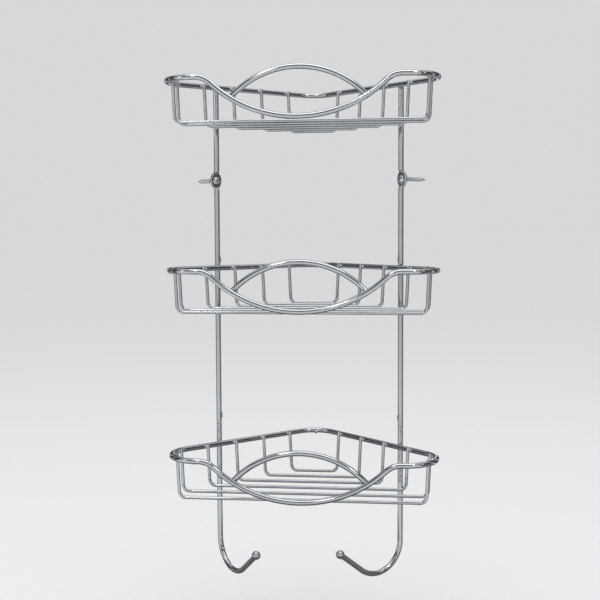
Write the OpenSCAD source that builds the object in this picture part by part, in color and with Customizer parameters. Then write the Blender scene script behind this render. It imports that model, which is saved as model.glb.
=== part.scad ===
// Three-tier corner shower caddy of chrome-plated steel wire, screwed into a square wall corner.
// Millimetres. +Z is up and -Y points into the room. The origin is the outermost point of the
// top basket's back corner, at the height of that rim's axis. The part is built for its left
// side and mirrored in X = 0, apart from the screws' slots and the turn of the hooks.

/* [Wire] */
// Diameter of the wire of each rim, with its front rail
rim_d = 5; // [4:0.25:6]
// Diameter of the arch wire behind each front rail
arch_d = 5; // [4:0.25:6]
// Diameter of the wires that make each basket's sides and floor
floor_d = 3; // [2:0.25:4]
// Diameter of the two upright rods
rod_d = 5; // [4.5:0.25:6]
// Depth to which two wires sink into each other where they are spot welded
weld_sink = 0.25; // [0.1:0.05:0.4]

/* [Basket outline] */
// Width of a basket over its two rounded tips
basket_w = 243; // [232:1:265]
// Bend radius of the rim at the back corner, on the wire's axis
corner_r = 22; // [15:1:26]
// Bend radius of the rim at each tip, on the wire's axis
tip_r = 30; // [26:1:33]
// Distance that the middle of the front rail dips below the rim
rail_dip = 34.6; // [28:0.2:36]
// Bend radius of the two shoulders where the rail leaves the rim
shoulder_r = 20; // [15:1:30]
// Height of one basket's rim above the next
tier_pitch = 167; // [150:1:190]

/* [Floor wires] */
// Distance from the rim's axis down to the axis of the floor wires
floor_drop = 36.7; // [34:0.1:44]
// Distance from the front rail's axis back to the first floor wire
front_wire_inset = 17; // [14:0.2:22]
// Distance from the back corner forward to the last floor wire
back_wire_inset = 23; // [20:0.1:30]
// Bend radius between a floor wire's leg and its floor, on the wire's axis
floor_bend_r = 5.8; // [4:0.2:9]
// Angle by which the legs lean inwards towards the floor
leg_lean = 2.6; // [0:0.2:5]
// Height of the legs' cut ends above the rim's axis
leg_rise = 2.2; // [0:0.1:4]

/* [Arch] */
// Radius of the arch, on the wire's axis
arch_r = 80.4; // [72:0.2:95]
// Height of the top of the arch above the rim's axis
arch_rise = 8; // [3:0.5:14]
// Length by which the arch's ends run past the rail's axis
arch_overrun = 1.8; // [0.5:0.1:4]

/* [Upright rods] */
// Distance from a basket's tip in to the rod's axis, along the basket's width
rod_inset = 35.5; // [28:0.5:50]
// Height of the rods' upper ends above the top rim's axis
rod_rise = 1.5; // [0:0.1:2]
// Height of the upper joint above the middle rim's axis
middle_seam_rise = 3.5; // [3:0.5:15]
// Height of the lower joint above the bottom rim's axis
bottom_seam_rise = 19; // [5:0.5:30]
// Diameter of the spigot that plugs two lengths of rod together
spigot_d = 3.2; // [2.6:0.1:3.6]
// Length of that spigot
spigot_len = 12; // [8:1:16]
// Clearance round the spigot, on the radius
spigot_clear = 0.05; // [0.02:0.01:0.15]
// Clearance between the spigot's end and the bottom of its socket
socket_end_gap = 0.5; // [0.2:0.1:1.5]
// Diameter of the crimp bead that locks each joint
crimp_d = 3; // [2:0.2:4]
// Height of the crimp bead
crimp_h = 6.5; // [4:0.5:9]
// Distance that the crimp bead stands proud of the rod
crimp_proud = 1.2; // [0.6:0.1:1.5]
// Gap between the upper joint and the crimp bead above it
upper_crimp_gap = 0.35; // [0.05:0.05:5]
// Gap between the lower joint and the crimp bead above it
lower_crimp_gap = 4.25; // [0.25:0.25:5]

/* [Screw eyelets] */
// Distance from the top rim's axis down to the eyelets' centres
eyelet_drop = 85.3; // [60:0.1:110]
// Width of the flattened eyelet along the wall
eyelet_w = 12; // [10:0.5:15]
// Height of the flattened eyelet
eyelet_h = 17.5; // [15:0.5:22]
// Thickness of the flattened eyelet
eyelet_t = 2; // [1.5:0.1:2.6]
// Clearance round the screw's neck in the eyelet's hole, on the radius
eyelet_hole_clear = 0.1; // [0.05:0.05:0.3]
// Margin of the flat that is pressed round the screw head, on the radius
eyelet_seat_margin = 0.3; // [0.2:0.05:0.6]

/* [Screws] */
// Diameter of the screws' necks inside the eyelets
screw_neck_d = 4.4; // [4.4:0.1:4.6]
// Diameter of the screws' shanks behind the wall face
screw_d = 4; // [3.5:0.1:4.1]
// Length of the screws' shanks behind the wall face
screw_len = 25; // [18:1:40]
// Length of the screws' point
screw_tip = 5; // [3:0.5:7]
// Diameter of the screw heads
screw_head_d = 6.6; // [6:0.1:6.8]
// Height of the straight side of the screw heads
screw_head_side = 1; // [0.6:0.1:1.4]
// Height of the screw heads
screw_head_h = 2.2; // [1.8:0.1:2.8]
// Width of the driver slot
slot_w = 0.9; // [0.6:0.1:1.2]
// Depth of the driver slot
slot_depth = 0.9; // [0.6:0.1:1.2]
// Angle at which both driver slots rise to the right, seen from the front
slot_angle = 28; // [0:1:90]

/* [Hooks] */
// Distance from the bottom rim's axis down to the start of the hooks' bends
hook_drop = 89; // [70:0.5:110]
// Bend radius of the hooks, on the wire's axis
hook_r = 27.5; // [18:0.5:34]
// Angle at which the hooks' ends rise
hook_rise_angle = 38; // [20:1:75]
// Straight length from the bend to the centre of the ball
hook_tail = 30.5; // [15:0.5:35]
// Angle by which both hooks are turned on their joints, clockwise from above
hook_turn = 6; // [-15:0.5:15]
// Diameter of the ball on each hook
ball_d = 8; // [7.6:0.2:11]
// Distance from the ball's centre back to the bottom of its bore
ball_bore_back = 1; // [0.5:0.1:1.5]
// Clearance round the wire in the ball, on the radius
ball_clear = 0.05; // [0.02:0.01:0.15]

/* [Closure weld] */
// Diameter of the weld bead that closes each rim at its back corner
bead_d = 3.6; // [3:0.1:4.4]
// Distance from the rim's axis down to the weld bead's centre
bead_drop = 1.25; // [0.5:0.05:1.5]

/* [Hidden] */
$fn = 64;

wires_per_floor = 6;
// Swelling of the wire, on the radius, and its length, where a bend meets the next stretch
joint_swell = 0.02;
joint_len = 0.2;
// Small length by which a cutter runs past the face that it cuts
past = 1;

// Plan of the rim's axis: a back bend, two runs along the walls at 45 degrees, two tip bends
corner_y = -(corner_r + rim_d / 2);
tip_x = basket_w / 2 - rim_d / 2 - tip_r;
wall_run_sum = sqrt(2) * corner_r + corner_y;
tip_y = wall_run_sum - sqrt(2) * tip_r - tip_x;
rail_y = tip_y - tip_r;
wall_run_len = (tip_x + tip_r * cos(45) - corner_r * cos(45)) * sqrt(2);

// Front rail: one large arc through its lowest point, tangent to the shoulders at both ends
rail_r = (tip_x * tip_x + rail_dip * rail_dip) / (2 * rail_dip) - shoulder_r;
rail_end = asin(tip_x / (rail_r + shoulder_r));
rail_centre_z = rail_r - rail_dip;

// Arch: it ends just past the point where it crosses behind the rail
arch_y = rail_y + rim_d / 2 + arch_d / 2 - weld_sink;
arch_centre_z = arch_rise - arch_r;
cross_z = (arch_r * arch_r - arch_centre_z * arch_centre_z - rail_r * rail_r
    + rail_centre_z * rail_centre_z) / (2 * (rail_centre_z - arch_centre_z));
cross_x = sqrt(arch_r * arch_r - pow(cross_z - arch_centre_z, 2));
arch_end = atan2(cross_x, cross_z - arch_centre_z) + arch_overrun / arch_r * 180 / PI;

// Floor wires: their legs stand against the inside of the rim
leg_gap = rim_d / 2 + floor_d / 2 - weld_sink;
leg_ring_r = tip_r - leg_gap;
floor_pitch = (-rail_y - front_wire_inset - back_wire_inset) / (wires_per_floor - 1);
bend_end_z = floor_bend_r * (1 - sin(leg_lean)) - floor_drop;
leg_len = (leg_rise - bend_end_z) / cos(leg_lean);

// Rods: they stand between the rims and the walls, and touch both
rod_gap = rim_d / 2 + rod_d / 2 - weld_sink;
rod_x = basket_w / 2 - rod_inset;
rod_y = wall_run_sum + sqrt(2) * rod_gap - rod_x;
wall_face = -rod_d / 2;
upper_seam_z = middle_seam_rise - tier_pitch;
lower_seam_z = bottom_seam_rise - 2 * tier_pitch;
hook_z = -2 * tier_pitch - hook_drop;

// Eyelets: two arcs meet in a pointed oval, and a round scoop thins the rod down to it
eyelet_arc_r = (pow(eyelet_w / 2, 2) + pow(eyelet_h / 2, 2)) / eyelet_w;
eyelet_thinning = rod_d - eyelet_t;
scoop_r = (pow(eyelet_h / 2, 2) + eyelet_thinning * eyelet_thinning) / (2 * eyelet_thinning);
seat_face = wall_face + eyelet_t;

// Eyelets' holes and seats follow the screws
eyelet_hole_d = screw_neck_d + 2 * eyelet_hole_clear;
eyelet_seat_d = screw_head_d + 2 * eyelet_seat_margin;

// Screw heads: a spherical crown over a short straight side
crown_h = screw_head_h - screw_head_side;
crown_r = (pow(screw_head_d / 2, 2) + crown_h * crown_h) / (2 * crown_h);

// Hooks
hook_end_x = hook_r * (1 + sin(hook_rise_angle));
hook_end_z = hook_z - hook_r * cos(hook_rise_angle);

function wire_y(i) = rail_y + front_wire_inset + (i - 1) * floor_pitch;

// Half width of floor wire i at the rim: on the tip bend in front, along the wall run behind
function leg_x(i) =
    wire_y(i) - tip_y < leg_ring_r * cos(45)
        ? tip_x + sqrt(leg_ring_r * leg_ring_r - pow(wire_y(i) - tip_y, 2))
        : wall_run_sum - sqrt(2) * leg_gap - wire_y(i);

// A bend of round wire about Z, from angle a0 to angle a1
module bend(r, d, a0, a1) {
    rotate([0, 0, a0])
        rotate_extrude(angle = a1 - a0)
            translate([r, 0])
                circle(d = d);
}

// The same bend in an upright plane: angles run from +X towards +Z
module upright_bend(r, d, a0, a1) {
    rotate([90, 0, 0])
        bend(r, d, a0, a1);
}

// Collar along Z that joins two stretches of wire end to end
module wire_joint(d) {
    cylinder(d = d + 2 * joint_swell, h = joint_len, center = true);
}

module both_sides() {
    children();
    mirror([1, 0, 0])
        children();
}

module at_tier(tier) {
    translate([0, 0, -tier * tier_pitch])
        children();
}

// Places a piece on the left rod, or mirrored on the right one.
// There +X points away from the wall and +Y along the wall to the corner.
module at_rod(right) {
    mirror([right ? 1 : 0, 0, 0])
        translate([-rod_x, rod_y, 0])
            rotate([0, 0, -45])
                children();
}

// The same, turned on the lower joint: a mirrored piece turns the other way in its own frame
module at_hook(right) {
    at_rod(right)
        rotate([0, 0, right ? hook_turn : -hook_turn])
            children();
}

module rim(tier) {
    color("silver")
        at_tier(tier)
            union() {
                translate([0, corner_y, 0])
                    bend(corner_r, rim_d, 45, 135);
                both_sides() {
                    rim_side();
                }
                translate([0, rail_y, -rail_dip])
                    rotate([0, 90, 0])
                        wire_joint(rim_d);
                translate([0, -rim_d, -bead_drop])
                    rotate([90, 0, 0])
                        sphere(d = bead_d);
            }
}

// Right half of the rim: wall run, tip bend, shoulder and half of the dipped rail
module rim_side() {
    translate([corner_r * cos(45), corner_y + corner_r * sin(45), 0])
        rotate([0, 90, -45]) {
            wire_joint(rim_d);
            cylinder(d = rim_d, h = wall_run_len);
            translate([0, 0, wall_run_len])
                wire_joint(rim_d);
        }
    translate([tip_x, tip_y, 0])
        bend(tip_r, rim_d, -90, 45);
    translate([tip_x, rail_y, 0])
        rotate([0, 90, 0])
            wire_joint(rim_d);
    translate([tip_x, rail_y, -shoulder_r])
        upright_bend(shoulder_r, rim_d, 90, 90 + rail_end);
    translate([tip_x - shoulder_r * sin(rail_end), rail_y, shoulder_r * (cos(rail_end) - 1)])
        rotate([0, 90 - rail_end, 0])
            wire_joint(rim_d);
    translate([0, rail_y, rail_centre_z])
        upright_bend(rail_r, rim_d, 270, 270 + rail_end);
}

module arch(tier) {
    color("lightgray")
        at_tier(tier)
            translate([0, arch_y, arch_centre_z])
                upright_bend(arch_r, arch_d, 90 - arch_end, 90 + arch_end);
}

module floor_wire(tier, i) {
    bend_x = leg_x(i) - floor_bend_r * cos(leg_lean) + bend_end_z * tan(leg_lean);
    color("gainsboro")
        at_tier(tier)
            translate([0, wire_y(i), 0])
                union() {
                    both_sides() {
                        floor_leg(bend_x);
                    }
                    translate([-bend_x, 0, -floor_drop])
                        rotate([0, 90, 0])
                            cylinder(d = floor_d, h = 2 * bend_x);
                }
}

// Right leg of a floor wire with the bend below it
module floor_leg(bend_x) {
    translate([bend_x, 0, -floor_drop])
        rotate([0, 90, 0])
            wire_joint(floor_d);
    translate([bend_x, 0, floor_bend_r - floor_drop])
        upright_bend(floor_bend_r, floor_d, 270, 360 - leg_lean);
    translate([bend_x + floor_bend_r * cos(leg_lean), 0, bend_end_z])
        rotate([0, leg_lean, 0]) {
            wire_joint(floor_d);
            cylinder(d = floor_d, h = leg_len);
        }
}

// Blind socket in the lower end of a length of rod
module socket(seam_z) {
    translate([0, 0, seam_z - past])
        cylinder(d = spigot_d + 2 * spigot_clear, h = spigot_len + socket_end_gap + past);
}

module spigot(seam_z) {
    translate([0, 0, seam_z])
        cylinder(d = spigot_d, h = spigot_len);
}

// Rounded bead that starts at height z, on the rod's side that faces the corner
module crimp_bead(z) {
    straight = crimp_h - crimp_d;
    translate([0, rod_d / 2 + crimp_proud - crimp_d / 2, z + crimp_d / 2]) {
        cylinder(d = crimp_d, h = straight);
        sphere(d = crimp_d);
        translate([0, 0, straight])
            sphere(d = crimp_d);
    }
}

module eyelet_plate() {
    translate([wall_face, 0, -eyelet_drop])
        rotate([90, 0, 90])
            linear_extrude(eyelet_t)
                intersection() {
                    translate([eyelet_arc_r - eyelet_w / 2, 0])
                        circle(r = eyelet_arc_r);
                    translate([eyelet_w / 2 - eyelet_arc_r, 0])
                        circle(r = eyelet_arc_r);
                }
}

// Scoop, flat seat and screw hole of an eyelet
module eyelet_cuts() {
    translate([seat_face + scoop_r, 0, -eyelet_drop])
        rotate([90, 0, 0])
            cylinder(r = scoop_r, h = rod_d + 2 * past, center = true);
    translate([seat_face, 0, -eyelet_drop])
        rotate([0, 90, 0])
            cylinder(d = eyelet_seat_d, h = rod_d);
    translate([wall_face - past, 0, -eyelet_drop])
        rotate([0, 90, 0])
            cylinder(d = eyelet_hole_d, h = rod_d + 2 * past);
}

module upper_rod(right) {
    color("whitesmoke")
        at_rod(right)
            difference() {
                union() {
                    translate([0, 0, upper_seam_z])
                        cylinder(d = rod_d, h = rod_rise - upper_seam_z);
                    eyelet_plate();
                    crimp_bead(upper_seam_z + upper_crimp_gap);
                }
                eyelet_cuts();
                socket(upper_seam_z);
            }
}

module middle_rod(right) {
    color("gainsboro")
        at_rod(right)
            difference() {
                union() {
                    translate([0, 0, lower_seam_z])
                        cylinder(d = rod_d, h = upper_seam_z - lower_seam_z);
                    spigot(upper_seam_z);
                    crimp_bead(lower_seam_z + lower_crimp_gap);
                }
                socket(lower_seam_z);
            }
}

module lower_rod(right) {
    color("whitesmoke")
        at_hook(right)
            union() {
                translate([0, 0, hook_z])
                    cylinder(d = rod_d, h = lower_seam_z - hook_z);
                spigot(lower_seam_z);
                translate([0, 0, hook_z])
                    wire_joint(rod_d);
                translate([hook_r, 0, hook_z])
                    upright_bend(hook_r, rod_d, 180, 270 + hook_rise_angle);
                hook_tail_frame() {
                    wire_joint(rod_d);
                    cylinder(d = rod_d, h = hook_tail - ball_bore_back);
                }
            }
}

// Frame at the end of the hook's bend, with +Z along the hook's straight tail
module hook_tail_frame() {
    translate([hook_end_x, 0, hook_end_z])
        rotate([0, 90 - hook_rise_angle, 0])
            children();
}

module hook_ball(right) {
    color("white")
        at_hook(right)
            hook_tail_frame()
                difference() {
                    translate([0, 0, hook_tail])
                        sphere(d = ball_d);
                    translate([0, 0, hook_tail - ball_d])
                        cylinder(d = rod_d + 2 * ball_clear, h = ball_d - ball_bore_back);
                }
}

module screw(right) {
    color("darkgray")
        at_rod(right)
            translate([seat_face, 0, -eyelet_drop])
                rotate([0, 90, 0])
                    difference() {
                        union() {
                            screw_head();
                            screw_shank();
                        }
                        rotate([0, 0, right ? 90 - slot_angle : 90 + slot_angle])
                            translate([0, 0, screw_head_h - slot_depth / 2 + past / 2])
                                cube([screw_head_d + past, slot_w, slot_depth + past], center = true);
                    }
}

module screw_head() {
    intersection() {
        cylinder(d = screw_head_d, h = screw_head_h);
        translate([0, 0, screw_head_h - crown_r])
            sphere(r = crown_r);
    }
}

// Neck, shank and point, downwards from the underside of the head
module screw_shank() {
    translate([0, 0, -eyelet_t])
        cylinder(d = screw_neck_d, h = eyelet_t);
    translate([0, 0, -eyelet_t - screw_len])
        cylinder(d = screw_d, h = screw_len);
    translate([0, 0, -eyelet_t - screw_len - screw_tip])
        cylinder(d1 = 0, d2 = screw_d, h = screw_tip);
}

rim(0);  // top_rim
arch(0);  // top_arch
floor_wire(0, 1);  // top_floor_wire_1
floor_wire(0, 2);  // top_floor_wire_2
floor_wire(0, 3);  // top_floor_wire_3
floor_wire(0, 4);  // top_floor_wire_4
floor_wire(0, 5);  // top_floor_wire_5
floor_wire(0, 6);  // top_floor_wire_6
rim(1);  // middle_rim
arch(1);  // middle_arch
floor_wire(1, 1);  // middle_floor_wire_1
floor_wire(1, 2);  // middle_floor_wire_2
floor_wire(1, 3);  // middle_floor_wire_3
floor_wire(1, 4);  // middle_floor_wire_4
floor_wire(1, 5);  // middle_floor_wire_5
floor_wire(1, 6);  // middle_floor_wire_6
rim(2);  // bottom_rim
arch(2);  // bottom_arch
floor_wire(2, 1);  // bottom_floor_wire_1
floor_wire(2, 2);  // bottom_floor_wire_2
floor_wire(2, 3);  // bottom_floor_wire_3
floor_wire(2, 4);  // bottom_floor_wire_4
floor_wire(2, 5);  // bottom_floor_wire_5
floor_wire(2, 6);  // bottom_floor_wire_6
upper_rod(false);  // left_upper_rod
middle_rod(false);  // left_middle_rod
lower_rod(false);  // left_lower_rod
hook_ball(false);  // left_hook_ball
screw(false);  // left_screw
upper_rod(true);  // right_upper_rod
middle_rod(true);  // right_middle_rod
lower_rod(true);  // right_lower_rod
hook_ball(true);  // right_hook_ball
screw(true);  // right_screw
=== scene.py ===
"""Corner shower caddy of chrome-plated wire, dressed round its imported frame.

The bent wires are drawn along paths of corner points by one Geometry Nodes tree, which rounds
the corners to their bend radii and sweeps the wire round them. The straight lengths of rod are
built up from rings, for their eyelets and crimps. Lengths are in metres.
"""

import math

import bmesh
import bpy
from bpy.props import FloatProperty, FloatVectorProperty, IntProperty, PointerProperty
from mathutils import Matrix, Vector


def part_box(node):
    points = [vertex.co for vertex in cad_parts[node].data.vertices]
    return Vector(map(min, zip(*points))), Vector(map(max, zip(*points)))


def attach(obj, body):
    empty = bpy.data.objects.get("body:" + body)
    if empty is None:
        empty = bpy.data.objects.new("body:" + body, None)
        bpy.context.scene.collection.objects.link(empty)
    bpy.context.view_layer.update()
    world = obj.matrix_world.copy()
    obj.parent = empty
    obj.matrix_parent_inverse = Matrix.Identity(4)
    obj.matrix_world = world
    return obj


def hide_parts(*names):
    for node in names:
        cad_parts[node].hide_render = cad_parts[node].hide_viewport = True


bl_info = {
    "name": "Corner Shower Caddy",
    "version": (1, 0, 0),
    "blender": (4, 5, 0),
    "location": "View3D > Sidebar > Shower Caddy",
    "description": "Builds a three-tier corner shower caddy of chrome-plated wire",
    "category": "Add Mesh",
}

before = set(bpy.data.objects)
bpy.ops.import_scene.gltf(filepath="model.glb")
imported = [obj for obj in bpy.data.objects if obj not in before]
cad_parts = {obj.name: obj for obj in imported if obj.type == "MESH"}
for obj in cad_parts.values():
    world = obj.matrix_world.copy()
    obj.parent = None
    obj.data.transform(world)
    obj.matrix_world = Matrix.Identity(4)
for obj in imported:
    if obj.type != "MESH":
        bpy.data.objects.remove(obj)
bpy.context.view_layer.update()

TIERS = ("top", "middle", "bottom")
SIDES = ("left", "right")
WIRES_PER_FLOOR = 6
MM = 0.001

# Joints of the rods: the spigots' length, and the crimps' heights above the upper and lower seams
SPIGOT = 12 * MM
UPPER_CRIMP, LOWER_CRIMP = 3.6 * MM, 7.5 * MM

# Eyelets: their oval and thickness, the heights from their centre at which the flat ends and
# the round wire starts, and the radius of the screw holes
EYELET_HALF_WIDTH, EYELET_HALF_HEIGHT = 6.0 * MM, 8.75 * MM
EYELET_THICKNESS = 2.0 * MM
FLAT_END, ROUND_START = 5.8 * MM, 8.9 * MM
SCREW_HOLE = 2.3 * MM

# How far the cut ends of the arches and of the other wires are rounded over
ARCH_EDGE, WIRE_EDGE = 0.5 * MM, 0.35 * MM

# Welds: how deep one wire sinks into the other, and the beads' half sizes, outwards from the
# crevice, across it and upwards
WELD_SINK = 0.25 * MM
LEG_BEAD = (1.3 * MM, 3.1 * MM, 1.6 * MM)
ROD_BEAD = (1.2 * MM, 2.6 * MM, 2.3 * MM)
ARCH_BEAD = (1.2 * MM, 2.7 * MM, 2.3 * MM)
RIM_BEAD = (1.7 * MM, 1.9 * MM, 1.7 * MM)
RIM_BEAD_DROP = 1.25 * MM

# Dark cloths in the studio: (start, end, bottom edge's height), in degrees to the right of the
# front. Those without a height also lie on the floor
SCREENS = (
    (-76, 50, 0.50), (56, 100, None), (108, 140, None), (150, 172, None), (188, 214, None),
    (224, 252, None), (256, 282, None))

# What the frame says of the wires, the tiers and the rods
RIM_LOW, RIM_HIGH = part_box("top_rim")
ARCH_LOW, ARCH_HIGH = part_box("top_arch")
ROD_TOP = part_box("left_upper_rod")[1].z
ROD_LOW, ROD_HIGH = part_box("left_middle_rod")
HOOK_LOW, HOOK_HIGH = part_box("left_lower_rod")
SCREW_LOW, SCREW_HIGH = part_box("left_screw")
FLOOR_LOW, FLOOR_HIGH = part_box("top_floor_wire_1")
RIM_WIRE = round(2 * RIM_HIGH.z, 4)
ARCH_WIRE = round(ARCH_HIGH.y - ARCH_LOW.y, 4)
FLOOR_WIRE = round(FLOOR_HIGH.y - FLOOR_LOW.y, 4)
ROD_WIRE = RIM_WIRE
ROD_X = -ROD_LOW.x - ROD_WIRE / 2
ROD_Y = ROD_LOW.y + ROD_WIRE / 2
RAIL_Y = RIM_LOW.y + RIM_WIRE / 2
HALF_WIDTH = RIM_HIGH.x - RIM_WIRE / 2
RAIL_LOW_Z = RIM_LOW.z + RIM_WIRE / 2
TIER_DROP = RIM_HIGH.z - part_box("middle_rim")[1].z
UPPER_SEAM, LOWER_SEAM = ROD_HIGH.z - SPIGOT, HOOK_HIGH.z - SPIGOT
EYELET_Z = (SCREW_LOW.z + SCREW_HIGH.z) / 2


# ---------------------------------------------------------------- settings

def metres(name, description, default, **more):
    """A setting in metres."""
    return FloatProperty(
        name=name, description=description, default=default, unit="LENGTH", **more)


def degrees(name, description, default):
    """A setting that is an angle."""
    return FloatProperty(
        name=name, description=description, default=math.radians(default), subtype="ANGLE")


def rgb(name, description, default):
    """A setting that is a colour."""
    return FloatVectorProperty(
        name=name, description=description, default=default, size=3, subtype="COLOR")


class CaddySizes(bpy.types.PropertyGroup):
    """Sizes of the wire-work that the frame's boxes don't give by themselves."""

    corner_radius: metres("Back Corner", "Bend radius of the rims at the back corner", 0.022)
    tip_radius: metres("Tip", "Bend radius of the rims at their two tips", 0.030)
    shoulder_radius: metres("Shoulder", "Bend radius where the front rail leaves the rim", 0.020)
    arch_radius: metres("Arch", "Radius of the arches behind the front rails", 0.0804)
    arch_overrun: metres(
        "Arch Overrun", "Length by which an arch's ends run past the rail", 0.0018)
    floor_bend: metres(
        "Floor Bend", "Bend radius between a floor wire's leg and its floor", 0.0058)
    leg_lean: degrees("Leg Lean", "Angle by which the legs lean in towards the floor", 2.6)
    hook_radius: metres("Hook", "Bend radius of the hooks", 0.0275)
    hook_rise: degrees("Hook Rise", "Angle at which the hooks' ends rise", 38)
    hook_turn: degrees("Hook Turn", "Turn of both hooks on their joints, clockwise from above", 6)
    hook_tail: metres(
        "Hook Tail", "Straight length from the hook's bend to the ball's centre", 0.0305)
    ball: metres("Ball", "Diameter of the ball on each hook", 0.008)
    waviness: metres(
        "Waviness", "How far a wire strays from its path, as bent wire does", 0.00003, precision=5)
    sides: IntProperty(
        name="Sides", description="Number of sides of a wire's cross-section",
        default=32, min=8, max=64)
    bend_steps: IntProperty(
        name="Bend Steps", description="Number of steps in each bend",
        default=44, min=6, max=96)


class CaddyFinishes(bpy.types.PropertyGroup):
    """Colours and wear of the plated wire, the welds and the screws."""

    chrome: rgb("Chrome", "Colour of the chrome plate", (0.56, 0.575, 0.595))
    weld: rgb("Weld", "Colour of the plated weld beads", (0.54, 0.55, 0.57))
    steel: rgb("Screw Steel", "Colour of the screws", (0.78, 0.79, 0.81))
    polish: FloatProperty(
        name="Polish", description="Roughness of the clean chrome",
        default=0.06, min=0.0, max=1.0)
    spots: FloatProperty(
        name="Water Spots", description="How strongly dried drops dull the chrome",
        default=0.16, min=0.0, max=1.0)


class CaddyStudio(bpy.types.PropertyGroup):
    """Floor, light and camera."""

    floor_colour: rgb("Floor", "Colour of the plain floor and background", (0.80, 0.81, 0.82))
    daylight: FloatProperty(
        name="Daylight", description="Strength of the even light from all round",
        default=0.85, min=0.0)
    floor_gap: metres("Floor Gap", "Height of the hooks above the floor", 0.05)
    camera_place: FloatVectorProperty(
        name="Camera Place", description="Where the camera stands",
        default=(0.1066, -1.0658, -0.1249), size=3, subtype="TRANSLATION")
    camera_yaw: degrees("Camera Yaw", "Turn of the camera to the right", -6.58)
    camera_pitch: degrees("Camera Pitch", "Tilt of the camera upwards", -4.14)
    camera_roll: degrees("Camera Roll", "Roll of the camera", -0.26)
    camera_lens: FloatProperty(
        name="Focal Length", description="Focal length on a 36 mm sensor, in millimetres",
        default=64.17)


def sizes():
    """The sizes set in the scene."""
    return bpy.context.scene.caddy_sizes


def finishes():
    """The finishes set in the scene."""
    return bpy.context.scene.caddy_finishes


def studio():
    """The studio's settings in the scene."""
    return bpy.context.scene.caddy_studio


# ---------------------------------------------------------------- materials

class Nodes:
    """A node tree with short calls for adding nodes to it."""

    def __init__(self, tree):
        self.tree = tree

    def add(self, kind, links=(), **values):
        """Adds a node. links are (input's name or number, value or socket) pairs."""
        node = self.tree.nodes.new(kind)
        for name, value in values.items():
            setattr(node, name, value)
        for key, value in links:
            self.link(value, node.inputs[key])
        return node

    def link(self, value, socket):
        """Links a socket to another, or gives it a plain value."""
        if isinstance(value, bpy.types.NodeSocket):
            self.tree.links.new(value, socket)
        else:
            socket.default_value = value

    def maths(self, operation, *values):
        return self.add("ShaderNodeMath", enumerate(values), operation=operation).outputs[0]


class NodeMaterial(Nodes):
    """A material, with calls for its textures."""

    def __init__(self, name):
        self.material = bpy.data.materials.new(name)
        self.material.use_nodes = True
        super().__init__(self.material.node_tree)
        self.shader = self.tree.nodes["Principled BSDF"]
        self.place = self.add("ShaderNodeTexCoord").outputs["Object"]

    def noise(self, scale, detail=2.0, roughness=0.5):
        return self.add("ShaderNodeTexNoise", [
            ("Vector", self.place), ("Scale", scale), ("Detail", detail),
            ("Roughness", roughness)]).outputs["Fac"]

    def ramp(self, value, low, high, start=0.0, end=1.0):
        """Maps value from low..high to start..end, clamped and smooth."""
        return self.add("ShaderNodeMapRange", [
            ("Value", value), ("From Min", low), ("From Max", high), ("To Min", start),
            ("To Max", end)], interpolation_type="SMOOTHSTEP").outputs["Result"]

    def mix(self, factor, first, second):
        return self.add("ShaderNodeMix", [
            ("Factor", factor), ("A", (*first, 1.0)), ("B", (*second, 1.0))],
            data_type="RGBA").outputs["Result"]

    def bump(self, height, distance, normal=None):
        """Bumps up to that distance, on top of another bump's normal if there is one."""
        links = [("Strength", 1.0), ("Distance", distance), ("Height", height)]
        if normal:
            links.append(("Normal", normal))
        return self.add("ShaderNodeBump", links).outputs["Normal"]


def dried_drops(made, cell, kept):
    """Dried water drops in a share (kept) of the cells: 1 at a drop's ring, less inside it."""
    smallest, spread = 0.14, 0.18
    cells = made.add("ShaderNodeTexVoronoi", [("Vector", made.place), ("Scale", 1 / cell)])
    split = made.add("ShaderNodeSeparateColor", [("Color", cells.outputs["Color"])])
    chosen = made.maths("LESS_THAN", split.outputs["Red"], kept)
    size = made.maths("MULTIPLY_ADD", split.outputs["Green"], spread, smallest)
    inside = made.maths("SUBTRACT", size, cells.outputs["Distance"])
    disc = made.ramp(inside, 0.0, 0.03)
    ring = made.maths("MULTIPLY", disc, made.ramp(inside, 0.02, 0.09, 1.0, 0.35))
    return made.maths("MULTIPLY", ring, chosen)


def chrome_plate(name, colour, grain=0.0):
    """Mirror-bright plate with a faint orange peel, smears and dried drops. grain roughens it."""
    made = NodeMaterial(name)
    shader = made.shader
    shader.inputs["Metallic"].default_value = 1.0
    smear = made.ramp(made.noise(scale=55, detail=3.0, roughness=0.6), 0.42, 0.72)
    drops = made.maths(
        "MAXIMUM", dried_drops(made, cell=4.6 * MM, kept=0.16),
        dried_drops(made, cell=2.6 * MM, kept=0.12))
    dulled = made.maths("MULTIPLY", drops, finishes().spots)
    rough = made.maths("ADD", made.ramp(smear, 0, 1, 0.0, 0.06), dulled)
    rough = made.maths("ADD", rough, finishes().polish + grain)
    made.link(rough, shader.inputs["Roughness"])
    milky = made.maths("MULTIPLY", made.maths("ADD", smear, drops), 0.5)
    paler = tuple(0.86 * channel + 0.02 for channel in colour)
    made.link(made.mix(milky, colour, paler), shader.inputs["Base Color"])
    peel_depth, drop_depth = (0.004 + 0.06 * grain) * MM, 0.0008 * MM
    peel = made.bump(made.noise(scale=260, detail=1.0), peel_depth)
    made.link(made.bump(drops, drop_depth, peel), shader.inputs["Normal"])
    return made.material


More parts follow.
